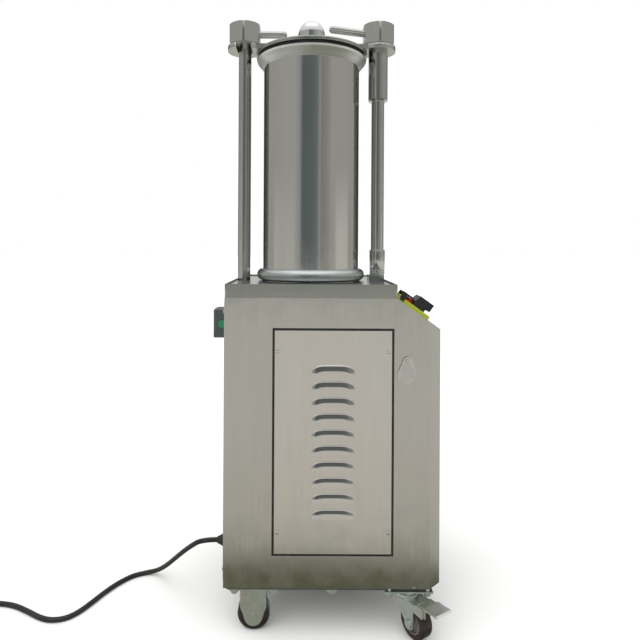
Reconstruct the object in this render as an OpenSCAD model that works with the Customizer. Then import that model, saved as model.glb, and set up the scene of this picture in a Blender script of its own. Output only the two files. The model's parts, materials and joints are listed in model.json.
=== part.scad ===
// Hydraulic sausage stuffer on castors.
// The barrel axis is X = 0, Y = 0 and the floor is Z = 0. +X is the operator's side, +Z is up.
// All lengths are in millimetres.

/* [Cabinet] */
// Distance from the barrel axis back to the rear wall
cab_rear = 172; // [170:1:180]
// Distance from the barrel axis forward to the front wall
cab_front = 262; // [258:1:270]
// Width of the cabinet, across the side walls
cab_width = 370; // [364:1:380]
// Height of the cabinet's lower edge above the floor
cab_bottom = 96; // [94:1:98]
// Height of the cabinet's flat top
cab_top = 672; // [668:1:676]
// Height at which the sloped control panel meets the front wall
slope_low = 608; // [600:1:616]
// Length along X of the bevel on each front corner
bevel_x = 24; // [16:1:28]
// Length along Y of the bevel on each front corner
bevel_y = 22; // [16:1:26]
// Sheet thickness of the cabinet, door and rear panel
sheet = 2; // [1.5:0.5:2.5]
// Width of the louvred service door
door_w = 232.5; // [220:0.5:236]
// Height of the louvred service door
door_h = 442.5; // [430:0.5:446]
// Number of louvres in the door
louvre_count = 10; // [6:1:12]
// Distance between louvres
louvre_pitch = 31.8; // [30:0.1:34]

/* [Drip tray] */
// Height of the tray's rim above the cabinet
tray_h = 27; // [24:1:30]
// Height of the tray's floor above the cabinet
tray_floor = 24; // [22:1:25]
// Thickness of the tray's upstanding rim
rim_w = 2.5; // [2:0.5:2.5]

/* [Barrel] */
// Outer diameter of the barrel
barrel_d = 219; // [219:0.5:220]
// Wall thickness of the barrel
barrel_wall = 3; // [2.5:0.1:3]
// Diameter of the barrel's top flange
flange_d = 251; // [248:1:254]
// Diameter of the rolled ring at the barrel's foot
foot_d = 246; // [244:1:248]
// Height of the barrel's foot above the floor
barrel_z = 697; // [697:1:698]
// Height of the flange's top face above the floor
flange_z = 1201.5; // [1200:0.5:1203]

/* [Lid and clamp] */
// Distance from the barrel axis to each column
column_x = 154; // [153:0.5:154]
// Diameter of the columns
column_d = 29; // [27:1:29]
// Diameter of the threaded neck at the top of each column
neck_d = 24; // [22:1:24]
// Diameter of the lid plate
lid_d = 255; // [250:1:256]
// Height of the lid beam
beam_h = 11; // [10:1:14]
// Width of the lid beam between its ends
beam_w = 58; // [50:1:62]
// Diameter of the beam's round ends
eye_d = 79; // [76:1:82]
// Size across the flats of the clamping nuts
nut_af = 68; // [66:1:72]
// Height of the clamping nuts
nut_h = 47; // [44:1:48]
// Diameter of the handle bars
bar_d = 16.5; // [15:0.5:17]
// Outer diameter of the outlet elbow
outlet_d = 60; // [56:1:62]
// Distance from the barrel axis to the outlet's mouth
outlet_y = 118; // [110:1:130]

/* [Ram] */
// Stroke of the stuffing piston
stroke = 450; // [420:5:450]
// Thickness of the stuffing piston
piston_h = 46; // [40:1:46]
// Diameter of the chromed piston rod
rod_d = 40; // [38:1:42]
// Bore of the hydraulic cylinder
ram_bore = 80; // [76:1:84]

/* [Castors] */
// Diameter of the castor wheels
wheel_d = 65; // [63:0.5:65]
// Width of the castor wheels
wheel_w = 28; // [26:1:29]
// Trail of the swivel castors
trail = 28; // [24:1:30]
// Direction in which the near front castor trails, in degrees from +X
trail_angle = -57; // [-70:1:-50]

/* [Cord] */
// Diameter of the rubber mains cord
cord_d = 10; // [9:0.5:11]
// Radius of the middle of the coil's turns
coil_r = 50; // [50:1:55]

/* [Hidden] */
$fn = 96;
eps = 0.01;
gap = 0.3;                 // free space between curved faces that don't fit together
run = 0.05;                // radial clearance of a turning or sliding fit
half_w = cab_width / 2;
slope = atan((cab_top - slope_low) / (cab_front - cab_rear));
tray_z = cab_top + tray_h;
pan_z = cab_top + tray_floor;
barrel_r = barrel_d / 2;
bore_r = barrel_r - barrel_wall;
column_r = column_d / 2;
neck_r = neck_d / 2;
gasket_h = 6.2;
lid_z = flange_z + gap + gasket_h;
lid_h = 7.5;
boss_h = 7.5;
beam_z = lid_z + lid_h + boss_h;
beam_top = beam_z + beam_h;
shoulder_z = beam_z - gap;
washer_z = beam_top + gap;
washer_h = 3;
nut_z = washer_z + washer_h + gap;
bar_z = nut_z + 26;
outlet_r = outlet_d / 2;
outlet_z = beam_top + outlet_r + gap;
door_x = 44.7;
door_z = 386;
cover_x = 192;
cover_z = 548;
cover_drop = 26.5;
switch_y = -100;
base_w = 8.8;
stop_u = 36;
start_u = 65;
hinge_u = 19;
hinge_w = 9;
gland_y = -100;
gland_z = 147;
castor_rear_x = -113;
castor_rear_y = 152;
castor_front_x = 197;
castor_front_y = 158;
plate_z = 87;
wheel_z = wheel_d / 2;
axle_r = 6;
ram_z = cab_bottom + 2;
ram_top = 664;
pump_x = 160;
tank_h = 190;
cord_r = cord_d / 2;
coil_x = -790;
coil_y = -35;
coil_turn_r = coil_r + cord_d;
plug_x = coil_x - coil_turn_r;
plug_y = coil_y + 45;
plug_z = 19;

piston_z = barrel_z + 4;
port_heights = [ram_z + 30, ram_top - 56];
box_x = -cab_rear - sheet - 20;
wheel_gap = 3;
cheek = 3;
cheek_in = wheel_w / 2 + wheel_gap;
pedal_x = trail + 28;
pedal_z = wheel_z + 39.5;
port_floor = ram_bore / 2 + 4;
pipe_r = 6;

// Cord route from the strain relief to the coil, chosen by hand.
LEAD = [
    [-197, -100, 147], [-215, -100, 146], [-237, -96, 140], [-258, -84, 123],
    [-280, -67, 100], [-300, -47, 76], [-320, -24, 51], [-341, 0, 27],
    [-361, 16, 11], [-384, 18, 5], [-411, 4, 5], [-435, -24, 5],
    [-454, -58, 5], [-469, -92, 5], [-484, -121, 5], [-503, -140, 5],
    [-529, -146, 5], [-556, -139, 5], [-590, -121, 5], [-625, -104, 5],
    [-659, -96, 5], [-700, -95, 5], [-740, -95, 5], [-772, -95, 5]
];
// Cord route from the top of the coil into the plug.
TAIL = [
    [-850, -30, 15], [-850, -14, 16], [-850, 0, 18], [-850, 10, 19]
];

// ---- shared shapes ----

// A round tube standing on z = 0.
module tube(r, bore, h) {
    difference() {
        cylinder(r = r, h = h);
        translate([0, 0, -1]) cylinder(r = bore, h = h + 2);
    }
}

// A box given by its lowest and highest corners.
module slab(low, high) {
    translate(low) cube(high - low);
}

// A cylinder along +X from the origin.
module bar_x(r, length) {
    rotate([0, 90, 0]) cylinder(r = r, h = length);
}

// A cylinder along -Y from the origin.
module bar_out(r, length) {
    rotate([90, 0, 0]) cylinder(r = r, h = length);
}

// A box with rounded upright edges, centred on X and Y.
module round_box(x, y, h, r) {
    union() {
        translate([-x / 2 + r, -y / 2, 0]) cube([x - 2 * r, y, h]);
        translate([-x / 2, -y / 2 + r, 0]) cube([x, y - 2 * r, h]);
        for (sx = [-1, 1], sy = [-1, 1])
            translate([sx * (x / 2 - r), sy * (y / 2 - r), 0]) cylinder(r = r, h = h);
    }
}

// Place children on the sloped control panel: X runs down the slope, Z stands off it.
module on_slope(along, across) {
    translate([cab_rear, across, cab_top])
        rotate([0, slope, 0])
            translate([along, 0, 0]) children();
}

// ---- cabinet ----

// The cabinet's outer form, moved inwards by inset on every face.
module cabinet_form(inset, low) {
    top = cab_top - inset;
    intersection() {
        translate([0, half_w - inset, 0])
            rotate([90, 0, 0])
                linear_extrude(cab_width - 2 * inset)
                    polygon([
                        [-cab_rear + inset, low],
                        [cab_front - inset, low],
                        [cab_front - inset, slope_low - inset * tan((90 - slope) / 2)],
                        [cab_rear - inset * tan(slope / 2), top],
                        [-cab_rear + inset, top]
                    ]);
        translate([0, 0, low])
            linear_extrude(top - low)
                polygon([
                    [-cab_rear + inset, -half_w + inset],
                    [cab_front - bevel_x - inset * 0.4, -half_w + inset],
                    [cab_front - inset, -half_w + bevel_y + inset * 0.4],
                    [cab_front - inset, half_w - bevel_y - inset * 0.4],
                    [cab_front - bevel_x - inset * 0.4, half_w - inset],
                    [-cab_rear + inset, half_w - inset]
                ]);
    }
}

// The service door's screws, as X and Z.
function door_screw_places() = [for (x = [-66, 155], z = [207.5, 566]) [x, z]];

// The rear panel's screws, as Y and Z.
function rear_screw_places() = [
    for (y = [-half_w + 17, half_w - 17], z = [cab_bottom + 30, cab_top - 30]) [y, z]
];

module cabinet_shell() {
    rebate = 12;
    color([0.62, 0.61, 0.58])
    difference() {
        union() {
            difference() {
                cabinet_form(0, cab_bottom);
                cabinet_form(sheet, cab_bottom + sheet);
                // Bottom opening, which leaves a flange all round.
                slab([-cab_rear + 24, -half_w + 24, cab_bottom - 1],
                     [cab_front - 28, half_w - 24, cab_bottom + sheet + 1]);
            }
            // Joggled ledge behind the service door.
            slab([door_x - door_w / 2 - rebate, -half_w + sheet - eps, door_z - door_h / 2 - rebate],
                 [door_x + door_w / 2 + rebate, -half_w + 2 * sheet, door_z + door_h / 2 + rebate]);
        }
        // Door opening in the outer sheet.
        slab([door_x - door_w / 2 - 4.5, -half_w - 1, door_z - door_h / 2 - 4.5],
             [door_x + door_w / 2 + 4.5, -half_w + sheet, door_z + door_h / 2 + 4.5]);
        // Door opening in the ledge.
        slab([door_x - door_w / 2 + rebate, -half_w, door_z - door_h / 2 + rebate],
             [door_x + door_w / 2 - rebate, -half_w + 3 * sheet, door_z + door_h / 2 - rebate]);
        for (p = door_screw_places())
            translate([p[0], -half_w + 3 * sheet, p[1]]) bar_out(2, 10);
        // Rear opening.
        slab([-cab_rear - 1, -half_w + 24, cab_bottom + 24],
             [-cab_rear + sheet + 1, half_w - 24, cab_top - 24]);
        for (p = rear_screw_places())
            translate([-cab_rear - 5, p[0], p[1]]) bar_x(2, 10);
        // Access hole for the pressure adjuster, and its cover's pivot.
        translate([cover_x - 2, -half_w + 5, cover_z - cover_drop]) bar_out(11, 10);
        translate([cover_x, -half_w + 5, cover_z]) bar_out(2, 10);
        // Opening for the switch body in the sloped panel.
        on_slope(0, switch_y) translate([28.5, -21, -8]) cube([52.5, 42, 16]);
        // Holes for the columns and the piston rod in the flat top.
        for (sx = [-1, 1])
            translate([sx * column_x, 0, cab_top - 5]) cylinder(r = column_r + gap, h = 10);
        translate([0, 0, cab_top - 5]) cylinder(r = 60, h = 10);
    }
}

module rear_panel() {
    color([0.6, 0.6, 0.57])
    difference() {
        slab([-cab_rear - sheet, -half_w + 10, cab_bottom + 10],
             [-cab_rear, half_w - 10, cab_top - 10]);
        // Vent slots.
        for (i = [0 : 7])
            slab([-cab_rear - 5, 20, 200 + i * 24], [-cab_rear + 5, 120, 206 + i * 24]);
        // Cord hole.
        translate([-cab_rear - 5, gland_y, gland_z]) bar_x(8, 10);
        // Switch box wiring hole.
        translate([-cab_rear - 5, -32, 603]) bar_x(8, 10);
        for (p = rear_screw_places())
            translate([-cab_rear - 5, p[0], p[1]]) bar_x(2, 10);
    }
}

// One pressed louvre: a hood that bulges out of the door and opens downwards.
module louvre_hood(grow) {
    w = 86 + 2 * grow;
    translate([-w / 2, 0, 0])
        rotate([90, 0, 90])
            linear_extrude(w)
                polygon([
                    [0.5, 9 + grow], [-3 - grow, 8 + grow], [-7 - grow, -3], [-7 - grow, -6], [0.5, -6]
                ]);
}

module service_door() {
    first = 529.6;
    color([0.68, 0.68, 0.65])
    difference() {
        union() {
            slab([door_x - door_w / 2, -half_w, door_z - door_h / 2],
                 [door_x + door_w / 2, -half_w + sheet, door_z + door_h / 2]);
            for (i = [0 : louvre_count - 1])
                translate([door_x, -half_w, first - i * louvre_pitch]) louvre_hood(0);
        }
        for (i = [0 : louvre_count - 1])
            translate([door_x, -half_w, first - i * louvre_pitch])
                translate([0, sheet + 0.5, -2]) louvre_hood(-1.5);
        for (p = door_screw_places())
            translate([p[0], -half_w + 5, p[1]]) bar_out(2.1, 10);
    }
}

// A pan-head screw pointing inwards through a side wall.
module side_screw(head_r, head_h, shank_r, length) {
    union() {
        bar_out(head_r, head_h);
        translate([0, length, 0]) bar_out(shank_r, length);
    }
}

module panel_screws() {
    color([0.75, 0.75, 0.73])
    union() {
        for (p = door_screw_places())
            translate([p[0], -half_w, p[1]]) side_screw(4, 2.2, 1.9, 8);
        for (p = rear_screw_places())
            translate([-cab_rear - sheet, p[0], p[1]]) rotate([0, 0, -90]) side_screw(4, 2.2, 1.9, 7);
        // Shouldered pivot screw of the adjuster's cover.
        translate([cover_x, -half_w - 2.9, cover_z]) side_screw(4.6, 2.2, 1.9, 9);
        translate([cover_x, -half_w, cover_z]) bar_out(2.5, 2.9);
    }
}

module adjuster_cover() {
    color([0.5, 0.5, 0.48])
    translate([cover_x, -half_w - gap, cover_z])
    difference() {
        union() {
            translate([-2, 0, -cover_drop]) bar_out(18.5, 2.2);
            bar_out(9.5, 2.2);
            rotate([90, 0, 0])
                linear_extrude(2.2)
                    polygon([[-9, 3], [9, 3], [15.5, -cover_drop + 5], [-19.3, -cover_drop + 5]]);
        }
        translate([0, 1, 0]) bar_out(2.5 + run, 5);
    }
}

module base_plate() {
    color([0.35, 0.35, 0.34])
    difference() {
        intersection() {
            cabinet_form(6, cab_bottom - 6);
            slab([-cab_rear, -half_w, cab_bottom - 6], [cab_front, half_w, cab_bottom]);
        }
        for (x = [-60, 60], y = [-90, 90])
            translate([x, y, cab_bottom - 7]) cylinder(r = 20, h = 8);
        for (p = castor_bolt_places())
            translate([p[0], p[1], cab_bottom - 7]) cylinder(r = 4.1, h = 8);
    }
}

module drip_tray() {
    color([0.55, 0.56, 0.53])
    difference() {
        translate([0, 0, cab_top]) round_box(2 * cab_rear, cab_width, tray_h, 4);
        translate([0, 0, pan_z]) round_box(2 * (cab_rear - rim_w), cab_width - 2 * rim_w, tray_h, 8);
        translate([0, 0, cab_top - 1])
            round_box(2 * (cab_rear - sheet), cab_width - 2 * sheet, tray_floor - sheet + 1, 3);
        for (sx = [-1, 1])
            translate([sx * column_x, 0, cab_top]) cylinder(r = column_r + gap, h = tray_h);
        translate([0, 0, cab_top]) cylinder(r = 60 - gap, h = tray_h);
    }
}

module cross_member() {
    color([0.3, 0.32, 0.34])
    difference() {
        union() {
            slab([-cab_rear + 4, -48, 640], [cab_rear - 2, 48, 664]);
            // Legs that carry the load down to the base plate.
            for (sx = [-1, 1], sy = [-1, 1])
                slab([sx * 70 - 6, sy * 42 - 6, cab_bottom], [sx * 70 + 6, sy * 42 + 6, 641]);
        }
        for (sx = [-1, 1])
            translate([sx * column_x, 0, 630]) cylinder(r = neck_r, h = 40);
        translate([0, 0, 630]) cylinder(r = 50, h = 40);
    }
}

// ---- columns ----

module column(neck_top) {
    union() {
        translate([0, 0, 664]) cylinder(r = column_r, h = shoulder_z - 664);
        // Threaded ends: the lower one goes through the cross member.
        translate([0, 0, 618]) cylinder(r = neck_r, h = 47);
        translate([0, 0, shoulder_z - 1]) cylinder(r = neck_r, h = neck_top - shoulder_z + 1);
    }
}

module left_column() {
    color([0.6, 0.6, 0.58])
    translate([-column_x, 0, 0]) column(nut_z + nut_h - 6);
}

module right_column() {
    color([0.6, 0.6, 0.58])
    translate([column_x, 0, 0]) column(nut_z + nut_h - 6);
}

module column_nuts() {
    color([0.5, 0.5, 0.48])
    for (sx = [-1, 1])
        translate([sx * column_x, 0, 621]) difference() {
            rotate([0, 0, 30]) cylinder(r = 15 / cos(30), h = 19, $fn = 6);
            translate([0, 0, -1]) cylinder(r = neck_r, h = 21);
        }
}

module column_coupling() {
    color([0.58, 0.58, 0.56])
    translate([column_x, 0, pan_z])
    difference() {
        union() {
            translate([-21, -20, 0]) cube([35, 40, 14]);
            translate([0, 0, 13]) cylinder(r = 16.5, h = 58);
            translate([0, 0, 16]) cylinder(r = 17.6, h = 3);
            translate([0, 0, 21]) cylinder(r = 17.6, h = 3);
            translate([0, 0, 26]) cylinder(r = 17.6, h = 44);
        }
        translate([0, 0, -1]) cylinder(r = column_r + run, h = 82);
    }
}

// ---- barrel ----

module barrel_tube() {
    color([0.72, 0.73, 0.73])
    translate([0, 0, barrel_z]) tube(barrel_r, bore_r, flange_z - barrel_z);
}

module barrel_flange() {
    r = flange_d / 2;
    color([0.57, 0.58, 0.56])
    translate([0, 0, flange_z])
        rotate_extrude()
            polygon([
                [barrel_r, 0], [r - 1, 0], [r, -1.5], [r - 1.5, -5], [r - 6.5, -10.5],
                [barrel_r + 4, -17.5], [barrel_r + 1, -21], [barrel_r, -21]
            ]);
}

module barrel_foot() {
    ring_r = 13.75;
    color([0.6, 0.62, 0.62])
    translate([0, 0, barrel_z])
        difference() {
            translate([0, 0, ring_r])
                rotate_extrude()
                    translate([foot_d / 2 - ring_r, 0]) circle(r = ring_r);
            translate([0, 0, -1]) cylinder(r = barrel_r, h = 2 * ring_r + 2);
        }
}

module barrel_seat() {
    color([0.5, 0.5, 0.48])
    translate([0, 0, pan_z])
    difference() {
        union() {
            cylinder(r = barrel_r, h = barrel_z - pan_z);
            cylinder(r = bore_r - gap, h = barrel_z - pan_z + 3);
            translate([0, 0, ram_top - pan_z]) cylinder(r = 55, h = pan_z - ram_top + 1);
        }
        translate([0, 0, ram_top - pan_z - 1]) cylinder(r = rod_d / 2 + run, h = 60);
    }
}

// ---- lid ----

module lid_plate() {
    r = lid_d / 2;
    color([0.6, 0.6, 0.58])
    translate([0, 0, lid_z])
    difference() {
        union() {
            cylinder(r = r, h = lid_h);
            translate([0, 0, -gasket_h]) cylinder(r = bore_r + 1, h = gasket_h + eps);
        }
        translate([0, 0, -gasket_h - 1]) cylinder(r = outlet_r - 3, h = 20);
        // Hollowed underside that leads the meat to the outlet.
        translate([0, 0, -gasket_h - eps]) cylinder(r1 = bore_r - 6, r2 = outlet_r - 3, h = gasket_h + 3);
    }
}

module lid_gasket() {
    color([0.08, 0.08, 0.08])
    translate([0, 0, flange_z + gap]) tube(121, bore_r + 1, gasket_h);
}

module lid_beam() {
    slot_w = neck_d + 10;
    color([0.62, 0.61, 0.58])
    translate([0, 0, beam_z])
    difference() {
        union() {
            translate([-column_x, -beam_w / 2, 0]) cube([2 * column_x, beam_w, beam_h]);
            translate([-column_x, 0, 0]) cylinder(r = eye_d / 2, h = beam_h);
            translate([column_x, 0, 0]) cylinder(r = eye_d / 2, h = beam_h);
            // Boss between the beam and the lid plate.
            translate([0, 0, -boss_h]) cylinder(r = 50, h = boss_h + 1);
        }
        // Open slot that lets the left end swing off its column.
        translate([-column_x, 0, -1]) cylinder(r = slot_w / 2, h = beam_h + 2);
        translate([-column_x - slot_w / 2, -eye_d, -1]) cube([slot_w, eye_d, beam_h + 2]);
        // Pivot bore round the right column's neck.
        translate([column_x, 0, -1]) cylinder(r = neck_r + run, h = beam_h + 2);
        translate([0, 0, -boss_h - 1]) cylinder(r = outlet_r - 3, h = boss_h + beam_h + 2);
    }
}

module swing_sleeve() {
    h = 113.5;
    color([0.62, 0.62, 0.6])
    translate([column_x, 0, beam_z - h])
    difference() {
        union() {
            translate([0, 0, 3]) cylinder(r = 22, h = h - 3);
            cylinder(r1 = 20, r2 = 22, h = 3 + eps);
        }
        translate([0, 0, -1]) cylinder(r = column_r + run, h = h + 2);
    }
}

module outlet_elbow() {
    inner = outlet_r - 3;
    color([0.75, 0.76, 0.76])
    difference() {
        union() {
            translate([0, 0, beam_top]) cylinder(r = outlet_r, h = outlet_z - beam_top);
            translate([0, 0, outlet_z]) sphere(r = outlet_r);
            translate([0, outlet_y, outlet_z]) bar_out(outlet_r, outlet_y);
            // Threaded mouth and the shoulder behind it.
            translate([0, outlet_y - 18, outlet_z]) bar_out(outlet_r + 4, 6);
            // Gusset on the slotted side.
            translate([0, 2, 0])
                rotate([90, 0, 0])
                    linear_extrude(4)
                        polygon([
                            [-outlet_r + 6, beam_top], [-outlet_r - 12, beam_top],
                            [-outlet_r + 6, outlet_z + 20]
                        ]);
        }
        translate([0, 0, beam_top - 1]) cylinder(r = inner, h = outlet_z - beam_top + 1);
        translate([0, 0, outlet_z]) sphere(r = inner);
        translate([0, outlet_y + 1, outlet_z]) bar_out(inner, outlet_y + 1);
    }
}

module outlet_nut() {
    color([0.7, 0.71, 0.71])
    translate([0, outlet_y + 14, outlet_z])
    rotate([90, 0, 0])
    difference() {
        cylinder(r = outlet_r + 11, h = 25);
        translate([0, 0, 6]) cylinder(r = outlet_r + run, h = 30);
        translate([0, 0, -1]) cylinder(r = outlet_r - 2.5, h = 30);
        // Wrench notches.
        for (a = [0 : 90 : 270])
            rotate([0, 0, a + 45]) translate([outlet_r + 12, 0, -1]) cylinder(r = 6, h = 30);
    }
}

module thrust_washer(x) {
    translate([x, 0, washer_z]) tube(32, neck_r + gap, washer_h);
}

module left_washer() {
    color([0.55, 0.55, 0.53]) thrust_washer(-column_x);
}

module right_washer() {
    color([0.55, 0.55, 0.53]) thrust_washer(column_x);
}

// Closed hexagon nut with rounded upright corners, and a socket for its handle bar.
module clamp_nut(bar_angle) {
    corner = nut_af / 2 / cos(30);
    blunt = corner - 1.2;
    difference() {
        intersection() {
            rotate([0, 0, 30]) cylinder(r = corner, h = nut_h, $fn = 6);
            rotate_extrude()
                polygon([
                    [0, 0], [blunt - 1.5, 0], [blunt, 1.5], [blunt, nut_h - 3],
                    [blunt - 3, nut_h - 0.6], [blunt - 6, nut_h], [0, nut_h]
                ]);
        }
        translate([0, 0, -1]) cylinder(r = neck_r + gap, h = nut_h - 4);
        rotate([0, 0, bar_angle]) translate([nut_af / 2 - 14, 0, bar_z - nut_z]) bar_x(bar_d / 2 + run, 40);
    }
}

module left_nut() {
    color([0.58, 0.58, 0.55])
    translate([-column_x, 0, nut_z]) clamp_nut(0);
}

module right_nut() {
    color([0.58, 0.58, 0.55])
    translate([column_x, 0, nut_z]) clamp_nut(197);
}

// Handle bar with a rounded tip, from its socket out to reach.
module handle_bar(reach) {
    socket = nut_af / 2 - 14;
    union() {
        translate([socket, 0, 0]) bar_x(bar_d / 2, reach - socket - bar_d / 2);
        translate([reach - bar_d / 2, 0, 0]) sphere(r = bar_d / 2);
    }
}

module left_handle() {
    color([0.7, 0.7, 0.68])
    translate([-column_x, 0, bar_z]) handle_bar(97);
}

module right_handle() {
    color([0.7, 0.7, 0.68])
    translate([column_x, 0, bar_z]) rotate([0, 0, 197]) handle_bar(120);
}

// ---- piston and ram ----

module stuffing_piston() {
    color([0.8, 0.8, 0.78])
    translate([0, 0, piston_z])
    difference() {
        cylinder(r = bore_r - 1, h = piston_h);
        for (z = [8, 30])
            translate([0, 0, z]) tube(bore_r + 1, bore_r - 6, 8);
        // Socket for the rod and recess for its bolt.
        translate([0, 0, -1]) cylinder(r = rod_d / 2, h = 27);
        translate([0, 0, 20]) cylinder(r = 9, h = 40);
        translate([0, 0, piston_h - 12]) cylinder(r = 20, h = 20);
    }
}

module piston_seals() {
    color([0.85, 0.83, 0.75])
    for (z = [8, 30])
        translate([0, 0, piston_z + z]) tube(bore_r - gap, bore_r - 6, 8);
}

module piston_rod() {
    head_z = ram_z + 24;
    color([0.82, 0.83, 0.85])
    union() {
        translate([0, 0, head_z]) cylinder(r = rod_d / 2, h = piston_z + 26 - head_z);
        // Piston of the hydraulic ram, with two seal grooves.
        translate([0, 0, head_z]) cylinder(r = ram_bore / 2 - 3, h = 36);
        for (z = [0, 14, 28])
            translate([0, 0, head_z + z]) cylinder(r = ram_bore / 2 - run, h = 8);
        // Bolt that holds the stuffing piston.
        translate([0, 0, piston_z + 20]) cylinder(r = 8.8, h = piston_h - 24);
        translate([0, 0, piston_z + piston_h - 12]) cylinder(r = 15, h = 9, $fn = 6);
    }
}

module ram_tube() {
    color([0.3, 0.34, 0.4])
    difference() {
        translate([0, 0, ram_z + 18]) tube(ram_bore / 2 + 8, ram_bore / 2, ram_top - 46 - ram_z - 18);
        for (z = port_heights)
            translate([0, -ram_bore / 2 + 5, z]) {
                bar_out(4, 20);
                translate([0, -port_floor + ram_bore / 2 - 5, 0]) bar_out(pipe_r + run, 10);
            }
    }
}

module ram_head() {
    color([0.35, 0.36, 0.38])
    difference() {
        union() {
            translate([0, 0, ram_top - 46]) cylinder(r = 62, h = 22);
            translate([0, 0, ram_top - 25]) cylinder(r = 50 - gap, h = 25);
            translate([0, 0, ram_top - 50]) cylinder(r = ram_bore / 2 - run, h = 5);
        }
        translate([0, 0, ram_top - 55]) cylinder(r = rod_d / 2 + run, h = 60);
    }
}

module ram_cap() {
    color([0.35, 0.36, 0.38])
    union() {
        translate([0, 0, ram_z]) cylinder(r = 55, h = 18);
        translate([0, 0, ram_z + 17]) cylinder(r = ram_bore / 2 - run, h = 5);
        translate([0, 0, cab_bottom]) cylinder(r = 30, h = ram_z - cab_bottom);
    }
}

// ---- power pack ----

module oil_tank() {
    color([0.25, 0.3, 0.36])
    difference() {
        union() {
            slab([82, -110, cab_bottom], [cab_front - 30, 110, cab_bottom + tank_h]);
            slab([78, -114, cab_bottom + tank_h], [cab_front - 26, 114, cab_bottom + tank_h + 6]);
            translate([105, -85, cab_bottom + tank_h]) cylinder(r = 18, h = 26);
        }
        slab([85, -107, cab_bottom + 3], [cab_front - 33, 107, cab_bottom + tank_h]);
        translate([pump_x, 0, cab_bottom + tank_h - 1]) cylinder(r = 45, h = 10);
    }
}

module motor() {
    base = cab_bottom + tank_h + 6;
    color([0.25, 0.35, 0.45])
    translate([pump_x, 0, base])
    difference() {
        union() {
            cylinder(r = 70, h = 14);
            translate([0, 0, 13]) cylinder(r = 62, h = 150);
            for (a = [0 : 20 : 340])
                rotate([0, 0, a]) translate([58, -1.5, 24]) cube([10, 3, 130]);
            translate([0, 0, 162]) cylinder(r = 64, h = 52);
            // Terminal box.
            translate([-30, -88, 70]) cube([60, 34, 60]);
        }
        translate([0, 0, 164]) cylinder(r = 61, h = 46);
        for (a = [0 : 45 : 315])
            rotate([0, 0, a]) translate([36, 0, 200]) cylinder(r = 8, h = 20);
        translate([0, 0, -1]) cylinder(r = 12 + run, h = 170);
    }
}

module motor_fan() {
    base = cab_bottom + tank_h + 6;
    color([0.15, 0.15, 0.16])
    translate([pump_x, 0, base])
    union() {
        translate([0, 0, -30]) cylinder(r = 12, h = 222);
        translate([0, 0, 172]) cylinder(r = 22, h = 16);
        for (a = [0 : 60 : 300])
            rotate([0, 0, a]) translate([18, -1.5, 174]) cube([36, 3, 22]);
    }
}

module pump() {
    base = cab_bottom + tank_h + 6;
    color([0.5, 0.5, 0.52])
    translate([pump_x, 0, base])
    difference() {
        union() {
            translate([0, 0, -40]) cylinder(r = 44, h = 40);
            translate([-32, -36, -130]) cube([64, 72, 91]);
            translate([0, 0, -165]) cylinder(r = 14, h = 36);
        }
        translate([0, 0, -60]) cylinder(r = 13, h = 70);
    }
}

module valve_block() {
    color([0.6, 0.6, 0.6])
    union() {
        slab([172, -130, 470], [232, -86, 545]);
        // Bracket down to the tank lid.
        slab([196, -112, cab_bottom + tank_h + 6], [226, -104, 471]);
        // Pressure adjuster, facing the access hole in the side wall.
        translate([cover_x - 2, -129, cover_z - cover_drop]) bar_out(9, 30);
        translate([cover_x - 2, -158, cover_z - cover_drop]) bar_out(6, 14);
    }
}

// Straight pipe between two points that differ along one axis only.
module pipe_run(from, to, r) {
    d = to - from;
    length = norm(d);
    translate(from)
        rotate([0, acos(d[2] / length), atan2(d[1], d[0])])
            cylinder(r = r, h = length);
}

// A pipe with ball corners through a list of points.
module pipe_line(points, r) {
    for (i = [0 : len(points) - 2])
        pipe_run(points[i], points[i + 1], r);
    for (i = [1 : len(points) - 2])
        translate(points[i]) sphere(r = r);
}

module oil_pipes() {
    low = port_heights[0];
    high = port_heights[1];
    pressure = [[210, -86, 490], [210, -78, 490], [0, -78, 490], [0, -78, low], [0, -port_floor, low]];
    back = [[220, -86, 520], [220, -64, 520], [220, -64, high], [0, -64, high], [0, -port_floor, high]];
    color([0.55, 0.57, 0.6])
    union() {
        pipe_line(pressure, pipe_r);
        pipe_line(back, pipe_r);
    }
}

// ---- electrics ----

module switch_box() {
    color([0.28, 0.31, 0.3])
    difference() {
        translate([box_x, -32.5, 572.5]) round_box(40, 65, 61, 5);
        translate([box_x + 1, -60, 603]) bar_out(9.6, 10);
        translate([box_x + 1, -50, 603]) bar_out(4 + run, 20);
    }
}

module box_button() {
    color([0.14, 0.5, 0.34])
    translate([box_x + 1, -65, 603])
    union() {
        translate([0, 1, 0]) bar_out(9.2, 5);
        translate([0, 10, 0]) bar_out(4, 10);
    }
}

module switch_base() {
    color([0.75, 0.8, 0.1])
    on_slope(0, switch_y)
    difference() {
        union() {
            translate([25, -27, 0]) cube([63, 54, base_w]);
            translate([29.5, -20, -30]) cube([50.5, 40, 31]);
            // Hinge lug between the cover's arms.
            translate([14.5, -20.5, 0]) cube([11, 41, 13]);
        }
        // Wells and stem bores of the two buttons.
        for (u = [stop_u, start_u]) {
            translate([u, 0, 3]) cylinder(r = 12.2, h = 20);
            translate([u, 0, -6]) cylinder(r = 4 + run, h = 20);
        }
        translate([hinge_u, -40, hinge_w]) rotate([-90, 0, 0]) cylinder(r = 1.5 + run, h = 80);
    }
}

// A round button on its stem, up to the given height off the panel.
module push_button(u, r, top) {
    seat = 6.3;
    on_slope(0, switch_y)
    translate([u, 0, 0])
    union() {
        translate([0, 0, seat]) cylinder(r = r, h = top - seat);
        translate([0, 0, -2]) cylinder(r = 4, h = seat + 3);
    }
}

module stop_button() {
    color([0.7, 0.15, 0.12]) push_button(stop_u, 11.6, 17);
}

module start_button() {
    color([0.1, 0.5, 0.25]) push_button(start_u, 10.8, 13);
}

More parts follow.
